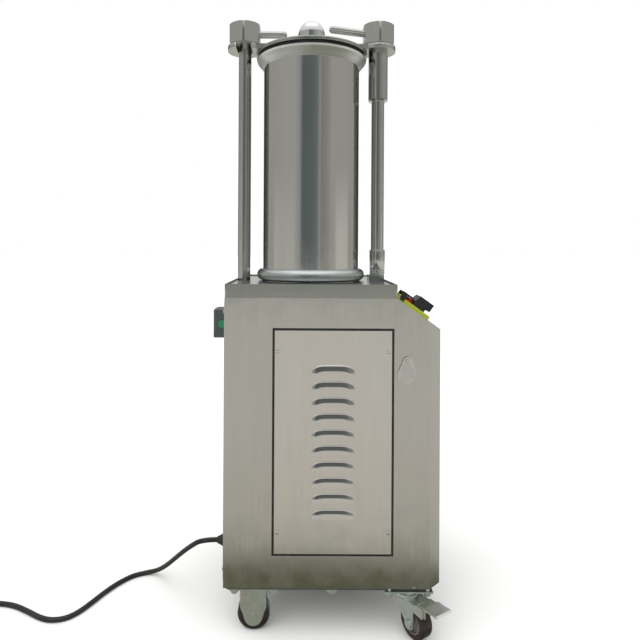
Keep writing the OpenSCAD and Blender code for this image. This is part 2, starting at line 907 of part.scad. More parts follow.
module switch_cover() {
    wide = 50;
    color([0.1, 0.1, 0.11])
    on_slope(0, switch_y)
    difference() {
        union() {
            // Two hinge arms on one pin.
            for (y = [-wide / 2, wide / 2 - 4.2])
                translate([hinge_u, y, hinge_w]) rotate([-90, 0, 0]) union() {
                    cylinder(r = 5.5, h = 4.2);
                    translate([-5.5, -12, 0]) cube([10, 12, 4.2]);
                }
            translate([hinge_u, -wide / 2, hinge_w]) rotate([-90, 0, 0]) cylinder(r = 1.5, h = wide);
            // Flap over the stop button, its tongue, and the tall hood over the start button.
            translate([13.5, -wide / 2, 18.3]) cube([24, wide, 3]);
            translate([37, -8, 18]) cube([10, 16, 1.5]);
            translate([0, wide / 2, 0])
                rotate([90, 0, 0])
                    linear_extrude(wide)
                        polygon([[44, 9.3], [44, 18], [48.5, 33], [82, 33], [82, 16], [72, 16], [72, 9.3]]);
        }
        translate([51, -22.5, 8]) cube([28, 45, 22]);
        // Opening towards the stop button.
        translate([40, -22.5, 8]) cube([12, 45, 9.8]);
    }
}

// Strain relief: a flange against the rear panel and a tapered rubber sleeve.
module cable_gland() {
    color([0.08, 0.08, 0.08])
    translate([-cab_rear - sheet, gland_y, gland_z])
    rotate([0, -90, 0])
    union() {
        cylinder(r = 16, h = 3);
        translate([0, 0, 2]) cylinder(r = 14, h = 7);
        translate([0, 0, 8]) cylinder(r1 = 13.5, r2 = cord_r + 1, h = 15);
        translate([0, 0, -8]) cylinder(r = 7.8, h = 9);
    }
}

// Unit direction of the route at point i.
function heading(route, i) =
    let (a = route[max(i - 1, 0)], b = route[min(i + 1, len(route) - 1)], d = b - a)
        d / norm(d);

// Ring of points round the route at point i, square to its heading.
function cord_ring(route, i, r, sides) =
    let (
        t = heading(route, i),
        side = cross([0, 0, 1], t) / norm(cross([0, 0, 1], t)),
        up = cross(t, side)
    )
    [for (k = [0 : sides - 1]) route[i] + r * (cos(360 * k / sides) * side + sin(360 * k / sides) * up)];

// A closed round tube swept along a route.
module swept_cord(route, r, sides = 10) {
    n = len(route);
    points = [for (i = [0 : n - 1]) each cord_ring(route, i, r, sides)];
    walls = [
        for (i = [0 : n - 2], k = [0 : sides - 1])
            let (a = i * sides + k, b = i * sides + (k + 1) % sides)
                each [[a, b, b + sides], [a, b + sides, a + sides]]
    ];
    start = [for (k = [0 : sides - 1]) sides - 1 - k];
    end = [for (k = [0 : sides - 1]) (n - 1) * sides + k];
    polyhedron(points, concat([start, end], walls), convexity = 6);
}

module power_cord() {
    color([0.06, 0.06, 0.06])
    union() {
        swept_cord(LEAD, cord_r);
        swept_cord(TAIL, cord_r);
    }
}

module cord_coil() {
    inner = coil_r - cord_d - cord_r;
    outer = coil_turn_r + cord_r;
    color([0.06, 0.06, 0.06])
    translate([coil_x, coil_y, 0])
        rotate_extrude()
            polygon([
                [inner, 2], [inner + 2, 0], [outer - 2, 0], [outer, 2],
                [outer, 18], [outer - 2, 20], [inner + 2, 20], [inner, 18]
            ]);
}

module cord_plug() {
    color([0.07, 0.07, 0.07])
    translate([plug_x, plug_y, plug_z])
    rotate([-90, 0, 0])
    union() {
        cylinder(r1 = cord_r + 1, r2 = 11, h = 25);
        translate([0, 0, 24]) cylinder(r1 = 12, r2 = 18.5, h = 14);
        translate([0, 0, 38 - eps]) cylinder(r = 18.5, h = 22);
        for (sx = [-1, 1])
            translate([sx * 9.5, 0, 59]) cylinder(r = 2.4, h = 20);
    }
}

// ---- castors ----

// Offsets of the four bolts in a castor's top plate.
function plate_bolts() = [for (sx = [-1, 1], sy = [-1, 1]) [sx * 38, sy * 20]];

// Every castor bolt's place on the base plate.
function castor_bolt_places() = [
    for (side = [-1, 1], b = plate_bolts())
        each [
            [castor_rear_x + b[0], side * castor_rear_y + b[1]],
            [castor_front_x + b[0], side * castor_front_y + b[1]]
        ]
];

module castor_plate() {
    difference() {
        translate([-48, -27, plate_z]) cube([96, 54, 3]);
        for (b = plate_bolts())
            translate([b[0], b[1], plate_z - 1]) cylinder(r = 4.1, h = 6);
    }
}

module castor_bolts() {
    for (b = plate_bolts())
        translate([b[0], b[1], 0]) union() {
            translate([0, 0, plate_z - 6]) cylinder(r = 7.5, h = 6, $fn = 6);
            translate([0, 0, plate_z - 8]) cylinder(r = 4, h = cab_bottom - plate_z + 8);
        }
}

// A cheek plate of a fork along Y: its outline in X and Z, and its round lower end.
module fork_cheek(outline, end_x, end_z, end_r) {
    union() {
        rotate([90, 0, 0]) linear_extrude(cheek) polygon(outline);
        translate([end_x, 0, end_z]) bar_out(end_r, cheek);
    }
}

// Axle bolt with its heads, along Y and centred on the wheel.
module axle_bolt() {
    reach = cheek_in + cheek;
    union() {
        translate([0, reach, 0]) bar_out(axle_r, 2 * reach);
        translate([0, reach + 4, 0]) bar_out(8, 4 + eps);
        translate([0, -reach + eps, 0]) bar_out(8, 4 + eps);
    }
}

module fixed_forks() {
    end_r = 18;
    end_z = wheel_z - 2;
    shield = [
        [-28, plate_z + 1], [28, plate_z + 1], [26.5, plate_z - 3], [26, 49], [end_r, end_z],
        [-end_r, end_z], [-26, 49], [-26.5, plate_z - 3]
    ];
    color([0.5, 0.53, 0.5])
    for (side = [-1, 1])
        translate([castor_rear_x, side * castor_rear_y, 0]) union() {
            castor_plate();
            castor_bolts();
            for (y = [-cheek_in, cheek_in + cheek])
                translate([0, y, 0]) fork_cheek(shield, 0, end_z, end_r);
            translate([0, 0, wheel_z]) axle_bolt();
        }
}

module castor_plates() {
    color([0.5, 0.53, 0.5])
    for (side = [-1, 1])
        translate([castor_front_x, side * castor_front_y, 0]) union() {
            castor_plate();
            castor_bolts();
            translate([0, 0, plate_z - 6]) cylinder(r = 24, h = 7);
            translate([0, 0, 66]) cylinder(r = axle_r, h = plate_z - 65);
            translate([0, 0, 66]) cylinder(r = 10, h = 3);
        }
}

// Turn children about a front castor's swivel: -1 is the near side and 1 the far side.
module at_swivel(side) {
    translate([castor_front_x, side * castor_front_y, 0])
        rotate([0, 0, side < 0 ? trail_angle : 180 - trail_angle]) children();
}

module front_fork(side) {
    crown_z = plate_z - 6 - gap - 8;
    ear_z = pedal_z + 7;
    leg_r = 11;
    outline = [
        [-26, crown_z + 1], [trail + 12, crown_z + 1], [trail + 20, ear_z], [pedal_x + 7, ear_z],
        [pedal_x + 7, 60], [trail + leg_r, 61], [trail + leg_r, wheel_z], [trail - leg_r, wheel_z]
    ];
    at_swivel(side)
    difference() {
        union() {
            translate([0, 0, crown_z]) cylinder(r = 25, h = 8);
            translate([-12, -cheek_in - cheek, crown_z]) cube([56, 2 * (cheek_in + cheek), 3]);
            for (y = [-cheek_in, cheek_in + cheek])
                translate([0, y, 0]) fork_cheek(outline, trail, wheel_z, leg_r);
            translate([trail, 0, wheel_z]) axle_bolt();
        }
        translate([0, 0, 40]) cylinder(r = axle_r + run, h = 60);
        translate([0, 0, 40]) cylinder(r = 10 + gap, h = 30 + gap);
        // Pivot holes of the brake pedal.
        translate([pedal_x, 40, pedal_z]) bar_out(2.5 + run, 80);
    }
}

module front_fork_near() {
    color([0.5, 0.53, 0.5]) front_fork(-1);
}

module front_fork_far() {
    color([0.5, 0.53, 0.5]) front_fork(1);
}

// Wheel with a crowned tyre and a plain bore, along Y about the origin.
module wheel() {
    w = wheel_w / 2;
    r = wheel_d / 2;
    rotate([90, 0, 0])
        rotate_extrude()
            polygon([
                [axle_r + run, -w - 1], [axle_r + 5, -w - 1], [axle_r + 5, -w + 2], [r - 11, -w + 2],
                [r - 9, -w], [r - 3, -w], [r - 0.6, -w + 3], [r, -w + 7],
                [r, w - 7], [r - 0.6, w - 3], [r - 3, w], [r - 9, w],
                [r - 11, w - 2], [axle_r + 5, w - 2], [axle_r + 5, w + 1], [axle_r + run, w + 1]
            ]);
}

module rear_wheel(side) {
    color([0.15, 0.12, 0.12])
    translate([castor_rear_x, side * castor_rear_y, wheel_z]) wheel();
}

module front_wheel(side) {
    color([0.15, 0.12, 0.12])
    at_swivel(side) translate([trail, 0, wheel_z]) wheel();
}

module rear_wheel_near() { rear_wheel(-1); }
module rear_wheel_far() { rear_wheel(1); }
module front_wheel_near() { front_wheel(-1); }
module front_wheel_far() { front_wheel(1); }

// A plate of the brake pedal, given by its outline round the pivot and its width.
module pedal_plate(outline, width) {
    translate([pedal_x, width / 2, pedal_z])
        rotate([90, 0, 0])
            linear_extrude(width) polygon(outline);
}

// Brake pedal: a tread plate and two side flanges on a pivot pin between the fork's cheeks.
module brake(side) {
    inside = 2 * (cheek_in - gap);
    flange = [[-5, 4], [-5, -4], [4, -10], [12, -10], [13, 9], [-3, 8.5]];
    color([0.45, 0.47, 0.45])
    at_swivel(side)
    union() {
        translate([pedal_x, cheek_in + cheek, pedal_z]) bar_out(2.5, 2 * (cheek_in + cheek));
        translate([pedal_x, inside / 2, pedal_z]) bar_out(5, inside);
        pedal_plate([[-4, 4], [-3, 8.5], [12, 11.5], [13, 9], [3, 6]], inside);
        pedal_plate([[11, 8.5], [11, 11.4], [30, 12.6], [43, 14], [47, 12], [45, 10.5], [30, 9.6]], 40);
        for (y = [-1, 1])
            translate([0, y * (inside / 2 - 1), 0]) pedal_plate(flange, 2);
    }
}

module brake_near() { brake(-1); }
module brake_far() { brake(1); }

cabinet_shell();
rear_panel();
service_door();
panel_screws();
adjuster_cover();
base_plate();
drip_tray();
cross_member();
left_column();
right_column();
column_nuts();
column_coupling();
barrel_tube();
barrel_flange();
barrel_foot();
barrel_seat();
lid_plate();
lid_gasket();
lid_beam();
swing_sleeve();
outlet_elbow();
outlet_nut();
left_washer();
right_washer();
left_nut();
right_nut();
left_handle();
right_handle();
stuffing_piston();
piston_seals();
piston_rod();
ram_tube();
ram_head();
ram_cap();
oil_tank();
motor();
motor_fan();
pump();
valve_block();
oil_pipes();
switch_box();
box_button();
switch_base();
switch_cover();
stop_button();
start_button();
cable_gland();
power_cord();
cord_coil();
cord_plug();
fixed_forks();
rear_wheel_near();
rear_wheel_far();
castor_plates();
front_fork_near();
front_fork_far();
front_wheel_near();
front_wheel_far();
brake_near();
brake_far();
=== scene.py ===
"""Looks of the sausage stuffer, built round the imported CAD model.

Metres. The floor is z = 0, +X is the operator's side (right in the photograph) and +Y points
away from the camera. CAD nodes keep their shape; the louvred door, the wheels, the screws, the
cord and its plug are replaced by detailed pieces.
"""

import json
import math

import bmesh
import bpy
from mathutils import Matrix, Vector


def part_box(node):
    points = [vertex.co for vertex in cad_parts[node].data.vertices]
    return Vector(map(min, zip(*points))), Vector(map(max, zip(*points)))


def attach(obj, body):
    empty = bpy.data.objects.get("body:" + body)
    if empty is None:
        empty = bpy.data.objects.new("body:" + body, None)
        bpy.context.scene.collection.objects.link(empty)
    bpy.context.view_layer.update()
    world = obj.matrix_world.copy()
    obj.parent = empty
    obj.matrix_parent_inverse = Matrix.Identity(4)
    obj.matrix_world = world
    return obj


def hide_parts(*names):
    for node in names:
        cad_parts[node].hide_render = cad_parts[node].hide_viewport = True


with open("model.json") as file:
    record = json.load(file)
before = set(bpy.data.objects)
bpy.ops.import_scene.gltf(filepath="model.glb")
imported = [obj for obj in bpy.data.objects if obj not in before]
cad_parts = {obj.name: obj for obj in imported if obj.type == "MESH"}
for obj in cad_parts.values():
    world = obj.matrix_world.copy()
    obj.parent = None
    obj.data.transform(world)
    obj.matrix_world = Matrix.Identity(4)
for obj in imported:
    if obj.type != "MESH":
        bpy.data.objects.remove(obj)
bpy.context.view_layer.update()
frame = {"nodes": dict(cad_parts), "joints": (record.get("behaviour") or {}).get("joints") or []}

MM = 0.001
NODES = frame["nodes"]
JOINTS = {joint["name"]: joint for joint in frame["joints"]}
scene = bpy.context.scene
scene.view_settings.view_transform = "Standard"


# ---------------------------------------------------------------- camera

CAMERA_X = -0.010
CAMERA_Y = -1.275
CAMERA_Z = 0.775
CAMERA_LENS = 30.94
SENSOR_WIDTH = 36
CAMERA_ROLL = -0.30
CAMERA_SHIFT = (0.0213, -0.1156)


def make_camera():
    """The photograph's view: level with the tray, looking along +Y, close to the machine."""
    data = bpy.data.cameras.new("camera")
    data.lens = CAMERA_LENS
    data.sensor_width = SENSOR_WIDTH
    data.shift_x, data.shift_y = CAMERA_SHIFT
    camera = bpy.data.objects.new("camera", data)
    camera.location = (CAMERA_X, CAMERA_Y, CAMERA_Z)
    camera.rotation_euler = (math.radians(90), math.radians(CAMERA_ROLL), 0)
    scene.collection.objects.link(camera)
    scene.camera = camera


make_camera()


# ---------------------------------------------------------------- mesh helpers

SHARP_ANGLE = math.radians(32)


def add_object(name, data):
    piece = bpy.data.objects.new(name, data)
    scene.collection.objects.link(piece)
    return piece


def shade(mesh, angle=SHARP_ANGLE):
    """Smooth shading that keeps edges sharper than angle."""
    for face in mesh.polygons:
        face.use_smooth = True
    mesh.set_sharp_from_angle(angle=angle)


def from_bmesh(name, bm, angle=SHARP_ANGLE):
    """An object from a bmesh, with its normals turned outwards."""
    bmesh.ops.remove_doubles(bm, verts=bm.verts, dist=1e-6)
    bmesh.ops.recalc_face_normals(bm, faces=bm.faces)
    mesh = bpy.data.meshes.new(name)
    bm.to_mesh(mesh)
    bm.free()
    shade(mesh, angle)
    return add_object(name, mesh)


def lathe(bm, outline, place, steps=64):
    """Revolve an outline of (radius, height) about the place's own Z axis."""
    rings = []
    for radius, height in outline:
        if radius < 1e-7:
            rings.append([bm.verts.new(place @ Vector((0, 0, height)))])
            continue
        ring = []
        for i in range(steps):
            turn = 2 * math.pi * i / steps
            point = Vector((radius * math.cos(turn), radius * math.sin(turn), height))
            ring.append(bm.verts.new(place @ point))
        rings.append(ring)
    for low, high in zip(rings, rings[1:]):
        for i in range(steps):
            j = (i + 1) % steps
            corners = [low[i % len(low)], low[j % len(low)], high[j % len(high)], high[i % len(high)]]
            bm.faces.new(list(dict.fromkeys(corners)))


def arc(centre, radius, start, end, steps):
    """Points on an arc in an outline's plane, with angles in degrees."""
    points = []
    for i in range(steps + 1):
        angle = math.radians(start + (end - start) * i / steps)
        points.append((centre[0] + radius * math.cos(angle), centre[1] + radius * math.sin(angle)))
    return points


def settle(piece, angle=SHARP_ANGLE):
    """Turn a piece's modifiers into plain mesh and shade it again."""
    depsgraph = bpy.context.evaluated_depsgraph_get()
    mesh = bpy.data.meshes.new_from_object(piece.evaluated_get(depsgraph))
    piece.modifiers.clear()
    piece.data = mesh
    shade(mesh, angle)


def add_block(bm, low, high, place=Matrix()):
    """A box between two corners of the place's own axes."""
    xs, ys, zs = zip(low, high)
    verts = [bm.verts.new(place @ Vector((x, y, z))) for x in xs for y in ys for z in zs]
    for a, b, c, d in ((0, 1, 3, 2), (4, 6, 7, 5), (0, 4, 5, 1), (2, 3, 7, 6), (0, 2, 6, 4), (1, 5, 7, 3)):
        bm.faces.new((verts[a], verts[b], verts[c], verts[d]))


def finish_piece(piece, body, material, slot, *replaced):
    """Give a piece its look, the body it rides on, and the CAD nodes it stands for."""
    piece.data.materials.append(MATERIALS[material])
    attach(piece, body)
    if replaced:
        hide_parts(*replaced)


def axis_place(origin, direction):
    """A matrix whose own Z axis runs along direction from origin."""
    turn = Vector(direction).to_track_quat("Z", "Y").to_matrix().to_4x4()
    return Matrix.Translation(Vector(origin)) @ turn


def centre_of(node):
    low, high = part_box(node)
    return (low + high) / 2


# ---------------------------------------------------------------- material helpers


class Shader:
    """A Principled material whose node tree is built by short calls."""

    def __init__(self, name, **sockets):
        self.material = bpy.data.materials.new(name)
        self.material.use_nodes = True
        self.tree = self.material.node_tree
        self.bsdf = self.tree.nodes["Principled BSDF"]
        for socket, value in sockets.items():
            self.bsdf.inputs[socket.replace("_", " ")].default_value = value
        self.place = self.new("ShaderNodeTexCoord").outputs["Object"]

    def new(self, kind, **settings):
        node = self.tree.nodes.new(kind)
        for key, value in settings.items():
            setattr(node, key, value)
        return node

    def put(self, socket, value):
        """Link value into a socket, or set it if it is a plain number or colour."""
        if isinstance(value, bpy.types.NodeSocket):
            self.tree.links.new(value, socket)
        else:
            socket.default_value = value

    def scaled(self, scale):
        node = self.new("ShaderNodeMapping")
        self.put(node.inputs["Vector"], self.place)
        self.put(node.inputs["Scale"], scale)
        return node.outputs["Vector"]

    def around(self, centre, scale):
        """Coordinates that are the same all round a vertical axis, for turned grain."""
        offset = self.new("ShaderNodeVectorMath", operation="SUBTRACT")
        self.put(offset.inputs[0], self.place)
        self.put(offset.inputs[1], (centre[0], centre[1], 0))
        flat = self.new("ShaderNodeVectorMath", operation="MULTIPLY")
        self.put(flat.inputs[0], offset.outputs[0])
        self.put(flat.inputs[1], (1, 1, 0))
        radius = self.new("ShaderNodeVectorMath", operation="LENGTH")
        self.put(radius.inputs[0], flat.outputs[0])
        split = self.new("ShaderNodeSeparateXYZ")
        self.put(split.inputs[0], self.place)
        joined = self.new("ShaderNodeCombineXYZ")
        self.put(joined.inputs["X"], radius.outputs["Value"])
        self.put(joined.inputs["Z"], split.outputs["Z"])
        node = self.new("ShaderNodeVectorMath", operation="SCALE")
        self.put(node.inputs[0], joined.outputs[0])
        self.put(node.inputs["Scale"], scale)
        return node.outputs[0]

    def noise(self, vector, scale, detail=2.0, roughness=0.5):
        node = self.new("ShaderNodeTexNoise")
        self.put(node.inputs["Vector"], vector)
        self.put(node.inputs["Scale"], scale)
        self.put(node.inputs["Detail"], detail)
        self.put(node.inputs["Roughness"], roughness)
        return node.outputs["Fac"]

    def spread(self, value, low, high, start=0.3, end=0.7):
        """Map a texture's usual range onto low to high."""
        node = self.new("ShaderNodeMapRange")
        self.put(node.inputs["Value"], value)
        self.put(node.inputs["From Min"], start)
        self.put(node.inputs["From Max"], end)
        self.put(node.inputs["To Min"], low)
        self.put(node.inputs["To Max"], high)
        return node.outputs["Result"]

    def mix(self, factor, first, second):
        node = self.new("ShaderNodeMix", data_type="RGBA")
        self.put(node.inputs["Factor"], factor)
        self.put(node.inputs["A"], first)
        self.put(node.inputs["B"], second)
        return node.outputs["Result"]

    def maths(self, operation, first, second):
        node = self.new("ShaderNodeMath", operation=operation)
        self.put(node.inputs[0], first)
        self.put(node.inputs[1], second)
        return node.outputs[0]

    def bump(self, height, distance, strength=1.0):
        node = self.new("ShaderNodeBump")
        self.put(node.inputs["Height"], height)
        self.put(node.inputs["Distance"], distance)
        self.put(node.inputs["Strength"], strength)
        previous = self.bsdf.inputs["Normal"]
        if previous.is_linked:
            self.put(node.inputs["Normal"], previous.links[0].from_socket)
        self.put(previous, node.outputs["Normal"])

    def finish(self, colour, roughness):
        self.put(self.bsdf.inputs["Base Color"], colour)
        self.put(self.bsdf.inputs["Roughness"], roughness)
        return self.material


def tone(colour, factor):
    """A colour made lighter or darker."""
    return tuple(min(1.0, c * factor) for c in colour[:3]) + (1.0,)


def sheet_steel(name, colour, roughness, grain="Z", warm=(1, 1, 1), cool=(1, 1, 1), wave=0.0):
    """Brushed sheet: fine lines along the grain, broad tints, smudges, and a slightly wavy face."""
    s = Shader(name, Metallic=1.0)
    across, along = 1400.0, 9.0
    scale = tuple(along if axis == grain else across for axis in "XYZ")
    lines = s.noise(s.scaled(scale), 1.0, 3.0, 0.6)
    broad_scale = tuple(3.0 if axis == grain else 38.0 for axis in "XYZ")
    broad = s.noise(s.scaled(broad_scale), 1.0, 2.0)
    patches = s.noise(s.place, 4.2, 1.0)
    smudges = s.noise(s.place, 26.0, 4.0, 0.62)
    tinted = s.mix(s.spread(patches, 0, 1), colour_times(colour, warm), colour_times(colour, cool))
    streaked = s.mix(s.spread(broad, 0, 0.5), tinted, tone(colour, 0.93))
    lined = s.mix(s.spread(lines, 0, 0.32), streaked, tone(colour, 0.80))
    rough = s.maths("ADD", s.spread(lines, -0.04, 0.05), s.spread(smudges, -0.03, 0.04))
    s.bump(lines, 0.00003, 0.5)
    if wave:
        s.bump(s.noise(s.place, 2.6, 1.0), wave)
    return s.finish(lined, s.maths("ADD", rough, roughness))


def colour_times(colour, factors):
    return tuple(min(1.0, c * f) for c, f in zip(colour[:3], factors)) + (1.0,)


def turned_steel(name, colour, roughness, centre, metallic=1.0):
    """Turned part: fine rings round a vertical axis, with handling marks."""
    s = Shader(name, Metallic=metallic)
    rings = s.noise(s.around(centre, 1700.0), 1.0, 3.0, 0.6)
    bands = s.noise(s.around(centre, 160.0), 1.0, 2.0)
    marks = s.noise(s.place, 34.0, 4.0, 0.6)
    mottled = s.mix(s.spread(marks, 0, 1), tone(colour, 1.04), tone(colour, 0.92))
    ringed = s.mix(s.spread(rings, 0, 0.35), mottled, tone(colour, 0.78))
    rough = s.maths("ADD", s.spread(bands, -0.04, 0.05), s.spread(marks, -0.03, 0.04))
    s.bump(rings, 0.00003, 0.5)
    return s.finish(ringed, s.maths("ADD", rough, roughness))


def bar_steel(name, colour, roughness):
    """Ground bar: very fine scratches along its length and darker stains."""
    s = Shader(name, Metallic=1.0)
    lines = s.noise(s.scaled((900.0, 900.0, 14.0)), 1.0, 3.0, 0.6)
    stains = s.noise(s.place, 18.0, 4.0, 0.6)
    stained = s.mix(s.spread(stains, 0, 1, 0.4, 0.8), tone(colour, 1.03), tone(colour, 0.84))
    lined = s.mix(s.spread(lines, 0, 0.4), stained, tone(colour, 0.76))
    s.bump(lines, 0.00004, 0.5)
    return s.finish(lined, s.spread(stains, roughness - 0.04, roughness + 0.09))


def zinc_plate(name, colour, roughness):
    """Zinc-plated pressing: cloudy passivation with a green and blue cast, and dull patches."""
    s = Shader(name, Metallic=1.0)
    clouds = s.noise(s.place, 55.0, 4.0, 0.62)
    cast = s.noise(s.place, 20.0, 2.0)
    fine = s.noise(s.place, 600.0, 2.0)
    cool = colour_times(colour, (0.90, 1.03, 1.04))
    warm = colour_times(colour, (1.06, 1.0, 0.90))
    tinted = s.mix(s.spread(cast, 0, 1), cool, warm)
    clouded = s.mix(s.spread(clouds, 0, 0.6), tinted, tone(colour, 0.66))
    s.bump(fine, 0.00005, 0.4)
    return s.finish(clouded, s.spread(clouds, roughness - 0.06, roughness + 0.10))


def painted(name, colour, roughness):
    """Paint with orange peel and dust."""
    s = Shader(name, Coat_Weight=0.25, Coat_Roughness=0.2)
    peel = s.noise(s.place, 260.0, 2.0)
    dust = s.noise(s.place, 30.0, 5.0, 0.65)
    dusty = s.mix(s.spread(dust, 0, 0.5, 0.45, 0.8), colour + (1,), (0.30, 0.29, 0.27, 1))
    s.bump(peel, 0.0002, 0.4)
    return s.finish(dusty, s.spread(dust, roughness - 0.05, roughness + 0.15))


def moulded(name, colour, roughness, texture=700.0, wear=0.3):
    """Moulded plastic: spark-eroded texture and faint scuffs."""
    s = Shader(name, Specular_IOR_Level=0.5)
    grain = s.noise(s.place, texture, 2.0)
    scuffs = s.noise(s.place, 60.0, 5.0, 0.7)
    scuffed = s.mix(s.spread(scuffs, 0, wear, 0.45, 0.8), colour + (1,), tone(colour, 1.7))
    s.bump(grain, 0.0001, 0.5)
    return s.finish(scuffed, s.spread(scuffs, roughness - 0.06, roughness + 0.10))


def rubber(name, colour, roughness, bloom=0.25):
    """Rubber: matt, with a pale bloom and fine grain."""
    s = Shader(name, Specular_IOR_Level=0.4)
    grain = s.noise(s.place, 1100.0, 2.0)
    clouds = s.noise(s.place, 40.0, 5.0, 0.65)
    bloomed = s.mix(s.spread(clouds, 0, bloom, 0.4, 0.8), colour + (1,), (0.11, 0.105, 0.10, 1))
    s.bump(grain, 0.00012, 0.5)
    return s.finish(bloomed, s.spread(clouds, roughness - 0.06, roughness + 0.12))


# ---------------------------------------------------------------- materials

BARREL_AXIS = (0.0, 0.0)
LEFT_COLUMN_AXIS = tuple(centre_of("left_column"))[:2]
RIGHT_COLUMN_AXIS = tuple(centre_of("right_column"))[:2]
CABINET = (0.512, 0.505, 0.485)
SATIN = (0.60, 0.61, 0.59)

MATERIALS = {
    "cabinet": sheet_steel(
        "cabinet_steel", CABINET, 0.105, "Z", (1.03, 0.985, 0.97), (0.97, 1.01, 0.985), 0.0005
    ),
    "door": sheet_steel(
        "door_steel", (0.615, 0.598, 0.575), 0.10, "Z", (1.04, 0.975, 0.955), (0.97, 1.005, 0.99), 0.0012
    ),
    "tray": sheet_steel("tray_steel", (0.45, 0.455, 0.43), 0.22, "X"),
    "barrel": sheet_steel("barrel_steel", (0.66, 0.66, 0.64), 0.10, "Z"),
    "foot": turned_steel("foot_steel", (0.60, 0.645, 0.645), 0.26, BARREL_AXIS),
    "flange": turned_steel("flange_steel", (0.78, 0.79, 0.78), 0.36, BARREL_AXIS, 0.9),
    "lid": turned_steel("lid_steel", (0.46, 0.47, 0.45), 0.15, BARREL_AXIS),
    "beam": sheet_steel("beam_steel", (0.56, 0.58, 0.55), 0.30, "X"),
    "left_turned": turned_steel("left_turned_steel", SATIN, 0.30, LEFT_COLUMN_AXIS),
    "right_turned": turned_steel("right_turned_steel", SATIN, 0.30, RIGHT_COLUMN_AXIS),
    "nut": bar_steel("nut_steel", (0.60, 0.60, 0.585), 0.17),
    "column": bar_steel("column_steel", (0.58, 0.58, 0.565), 0.17),
    "elbow": bar_steel("elbow_steel", (0.80, 0.80, 0.80), 0.09),
    "screw": bar_steel("screw_steel", (0.74, 0.74, 0.72), 0.16),
    "zinc": zinc_plate("zinc", (0.66, 0.70, 0.68), 0.38),
    # The base plate's zinc is far darker than the castor plates': painted shade for the dark line under the
    # cabinet.
    "zinc_painted_shade": zinc_plate("zinc_painted_shade", (0.20, 0.205, 0.195), 0.5),
    "pipe": zinc_plate("pipe_zinc", (0.60, 0.61, 0.58), 0.28),
    "chrome": bar_steel("rod_chrome", (0.80, 0.81, 0.82), 0.07),
    "alloy": zinc_plate("cast_alloy", (0.55, 0.56, 0.56), 0.48),
    "frame_paint": painted("frame_paint", (0.12, 0.125, 0.13), 0.42),
    "ram_paint": painted("ram_paint", (0.13, 0.16, 0.20), 0.38),
    "tank_paint": painted("tank_paint", (0.10, 0.15, 0.21), 0.38),
    "motor_paint": painted("motor_paint", (0.07, 0.14, 0.26), 0.35),
    "box": moulded("box_plastic", (0.058, 0.072, 0.067), 0.42, 900.0),
    "green": moulded("button_green", (0.012, 0.20, 0.105), 0.30, 1500.0, 0.15),
    "yellow": moulded("switch_yellow", (0.42, 0.47, 0.012), 0.34, 1500.0, 0.12),
    "black": moulded("switch_black", (0.012, 0.012, 0.014), 0.36, 900.0, 0.2),
    "red": moulded("button_red", (0.50, 0.035, 0.018), 0.28, 1500.0, 0.12),
    "fan": moulded("fan_plastic", (0.03, 0.03, 0.032), 0.45, 900.0),
    "polymer": moulded("piston_polymer", (0.80, 0.80, 0.76), 0.40, 500.0, 0.0),
    "seal": rubber("seal_rubber", (0.70, 0.66, 0.55), 0.50, 0.1),
    "gasket": rubber("gasket_rubber", (0.012, 0.012, 0.011), 0.55),
    "cord": rubber("cord_rubber", (0.012, 0.012, 0.012), 0.42, 0.18),
    "tyre": rubber("tyre_rubber", (0.019, 0.0095, 0.009), 0.36, 0.16),
    "hub": moulded("hub_plastic", (0.15, 0.13, 0.12), 0.36, 900.0, 0.2),
}

NODE_MATERIALS = {
    "cabinet": ["cabinet_shell", "rear_panel"],
    "door": ["service_door"],
    "tray": ["drip_tray"],
    "barrel": ["barrel_tube"],
    "foot": ["barrel_foot"],
    "flange": ["barrel_flange", "barrel_seat"],
    "lid": ["lid_plate"],
    "beam": ["lid_beam"],
    "left_turned": ["left_washer"],
    "right_turned": ["right_washer"],
    "nut": ["left_nut", "right_nut", "column_coupling", "adjuster_cover"],
    "column": ["left_column", "right_column", "swing_sleeve", "left_handle", "right_handle"],
    "elbow": ["outlet_elbow", "outlet_nut"],
    "screw": ["panel_screws"],
    "zinc": [
        "column_nuts", "fixed_forks", "castor_plates", "front_fork_near", "front_fork_far",
        "brake_near", "brake_far",
    ],
    # The base plate under the cabinet takes the darker zinc, which is painted shade.
    "zinc_painted_shade": ["base_plate"],
    "pipe": ["oil_pipes"],
    "chrome": ["piston_rod"],
    "alloy": ["pump", "valve_block"],
    "frame_paint": ["cross_member"],
    "ram_paint": ["ram_tube", "ram_head", "ram_cap"],
    "tank_paint": ["oil_tank"],
    "motor_paint": ["motor"],
    "box": ["switch_box"],
    "green": ["box_button", "start_button"],
    "yellow": ["switch_base"],
    "black": ["switch_cover"],
    "red": ["stop_button"],
    "fan": ["motor_fan"],
    "polymer": ["stuffing_piston"],
    "seal": ["piston_seals"],
    "gasket": ["lid_gasket"],
    "cord": ["cable_gland", "power_cord", "cord_coil", "cord_plug"],
    "tyre": ["rear_wheel_near", "rear_wheel_far", "front_wheel_near", "front_wheel_far"],
}


def paint_node(node, material):
    mesh = NODES[node].data
    mesh.materials.clear()
    mesh.materials.append(material)


for look, members in NODE_MATERIALS.items():
    for node in members:
        paint_node(node, MATERIALS[look])
# The photograph's side wall shows no mirror image of the pedal, so it is kept out of reflections.
NODES["brake_near"].visible_glossy = False


# ---------------------------------------------------------------- edges of the CAD parts

BEVELS = {
    1.2: ["cabinet_shell", "drip_tray", "switch_box"],
    0.9: ["left_nut", "right_nut", "column_coupling", "switch_cover", "lid_beam"],
    0.5: ["switch_base", "lid_plate", "adjuster_cover", "stop_button", "start_button", "box_button"],
    0.4: ["castor_plates", "fixed_forks", "front_fork_near", "front_fork_far", "brake_near",
          "brake_far", "rear_panel"],
}


